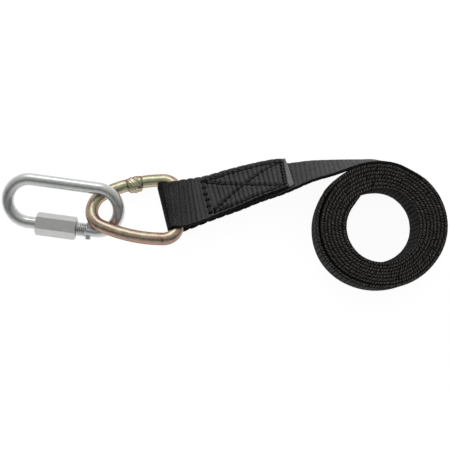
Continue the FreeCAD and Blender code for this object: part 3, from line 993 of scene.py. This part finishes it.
def yellow_zinc():
    """Yellow passivated zinc: olive and gold above, pink toward the near side, with grain."""
    material, tree, shader = new_material("yellow_zinc")
    coords = add_node(tree, "ShaderNodeTexCoord")
    place = coords.outputs["Object"]
    _, facing, rise = split(tree, coords.outputs["Normal"])
    wrap = add_node(tree, "ShaderNodeUVMap", uv_map="wrap").outputs["UV"]
    shade = add_node(tree, "ShaderNodeAttribute", attribute_name="shade").outputs["Fac"]
    _, north, _ = split(tree, place)
    cloud = grain(tree, place, 190, 3.0)
    drift = calc(tree, "SUBTRACT", cloud, 0.5)
    speckle = grain(tree, scaled(tree, wrap, (1.6, 3.4, 1.0)), 1.0, 4.0, 0.7)
    smudge = grain(tree, scaled(tree, wrap, (0.35, 1.1, 1.0)), 1.0, 3.0, 0.65)

    tint = calc(tree, "MULTIPLY_ADD", drift, 1.6, calc(tree, "MULTIPLY_ADD", north, 11.0, 0.36))
    gold = ramp(tree, tint, [(0.10, (0.44, 0.32, 0.25)), (0.42, (0.48, 0.385, 0.295)),
                             (0.62, (0.53, 0.49, 0.34)), (0.85, (0.45, 0.50, 0.32))])
    side = calc(tree, "MINIMUM", 1.0, calc(tree, "MULTIPLY", north, 90.0))
    outward = calc(tree, "MULTIPLY", facing, calc(tree, "MAXIMUM", -1.0, side))
    blush = calc(tree, "MULTIPLY_ADD", rise, -0.95, 0.72)
    blush = calc(tree, "MULTIPLY_ADD", outward, 0.32, blush)
    blush = calc(tree, "MULTIPLY_ADD", drift, 1.0, blush)
    blush = calc(tree, "MINIMUM", 0.92, calc(tree, "MAXIMUM", 0.0, blush))
    colour = blend_colour(tree, blush, gold, (0.36, 0.215, 0.185))
    freckle = calc(tree, "MULTIPLY_ADD", speckle, 0.8, calc(tree, "MULTIPLY", smudge, 1.1))
    colour = blend_colour(tree, 1.0, colour, grey(tree, freckle), "MULTIPLY")
    # Painted shade: the shade attribute darkens the colour toward dark olive in the weld's
    # creases, the nick and the bead's hollows.
    colour = blend_colour(tree, shade, colour, (0.10, 0.10, 0.06))
    tree.links.new(colour, shader.inputs["Base Color"])
    shader.inputs["Metallic"].default_value = 1.0
    shader.inputs["Specular Tint"].default_value = (0.62, 0.40, 0.36, 1)
    rough = calc(tree, "MULTIPLY_ADD", speckle, 0.2, calc(tree, "MULTIPLY", smudge, 0.3))
    tree.links.new(rough, shader.inputs["Roughness"])
    add_bump(tree, shader, speckle, 0.05)
    return material


# ---------------------------------------------------------------- stage

def stage():
    """White floor, surroundings, one soft light and the camera."""
    pale_floor()
    studio()
    key_light()
    camera()
    bpy.context.scene.view_settings.view_transform = "Standard"


def pale_floor():
    """A floor that glows nearly white and takes only a faint shadow."""
    mesh = bpy.data.meshes.new("floor")
    mesh.from_pydata([(-3, -3, 0), (3, -3, 0), (3, 3, 0), (-3, 3, 0)], [], [(0, 1, 2, 3)])
    floor = new_object("floor", mesh)
    floor.location.z = -FLOOR_DROP
    material, tree, shader = new_material("floor_white")
    shader.inputs["Base Color"].default_value = (0.16, 0.16, 0.16, 1)
    shader.inputs["Roughness"].default_value = 1.0
    shader.inputs["Specular IOR Level"].default_value = 0.0
    shader.inputs["Emission Color"].default_value = (1, 1, 1, 1)
    shader.inputs["Emission Strength"].default_value = 0.94
    mesh.materials.append(material)


def studio():
    """Surroundings that the metal mirrors: bright sides with a dark band between them."""
    world = bpy.data.worlds.new("studio")
    bpy.context.scene.world = world
    world.use_nodes = True
    tree = world.node_tree
    back = tree.nodes["Background"]
    _, north, _ = split(tree, add_node(tree, "ShaderNodeTexCoord").outputs["Generated"])
    stops = [((y + 1) / 2, (level, level, level)) for y, level in STUDIO]
    colour = ramp(tree, calc(tree, "MULTIPLY_ADD", north, 0.5, 0.5), stops)
    tree.links.new(colour, back.inputs["Color"])
    back.inputs["Strength"].default_value = 1.0


def key_light():
    """A soft square light from the far side, aimed at the origin."""
    data = bpy.data.lights.new("key", "AREA")
    data.size = KEY_SIZE
    data.energy = KEY_POWER
    light = new_object("key", data)
    light.location = KEY_PLACE
    light.rotation_euler = (-Vector(KEY_PLACE)).to_track_quat("-Z", "Y").to_euler()


def camera():
    """The camera, looking down from a little on the near side."""
    data = bpy.data.cameras.new("camera")
    item = new_object("camera", data)
    item.location = CAMERA_PLACE
    direction = CAMERA_TARGET - item.location
    right = direction.cross(Vector((0, 1, 0))).normalized()
    up = right.cross(direction).normalized()
    turn = Matrix((right, up, -direction.normalized())).transposed()
    item.rotation_euler = turn.to_euler()
    data.sensor_width = SENSOR_WIDTH
    data.lens = SENSOR_WIDTH * direction.length / PICTURE_WIDTH
    data.clip_start = 0.01
    data.clip_end = 20
    bpy.context.scene.camera = item


# ---------------------------------------------------------------- build

stage()
near, far = strap_rows()
fabric = webbing_material("sewn_webbing", SEWN_FLECKS, 0.05)
coil_fabric = webbing_material("rolled_webbing", COIL_FLECKS, 0.0)
eye_band = Band(near, 0.0, EYE_STEP)
coil_band = Band(far, eye_band.end, COIL_STEP)
seams = Seams(eye_band)

eye_cloth = webbing("eye_webbing", eye_band, EYE_ACROSS, RIB_DEPTH, fabric, seams)
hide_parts("strap_eye", "strap_lead")
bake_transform(eye_cloth)

# The coil gets extra painted shade all over, standing in for less light on its walls.
coil_cloth = webbing("coil_webbing", coil_band, COIL_ACROSS, COIL_RIB_DEPTH, coil_fabric,
                     painted_shade_offset=COIL_PAINTED_SHADE)
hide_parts("strap_coil")
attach(coil_cloth, "coil")

thread = thread_material()
for side, name, node in ((0, "upper_stitches", "needle_thread"),
                         (1, "lower_stitches", "bobbin_thread")):
    piece = stitches(name, eye_band, seams, side, thread)
    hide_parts(node)
    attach(piece, "eye")

crust = sealed_end("sealed_end", eye_band, crust_material())
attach(crust, "eye")

ring = ring_rod("ring_rod", yellow_zinc())
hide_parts("pear_ring")
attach(ring, "ring")

for node, material in (("quick_link_body", bright_zinc()), ("quick_link_nut", satin_zinc())):
    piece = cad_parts[node]
    piece.data.materials.clear()
    piece.data.materials.append(material)

bpy.context.view_layer.update()
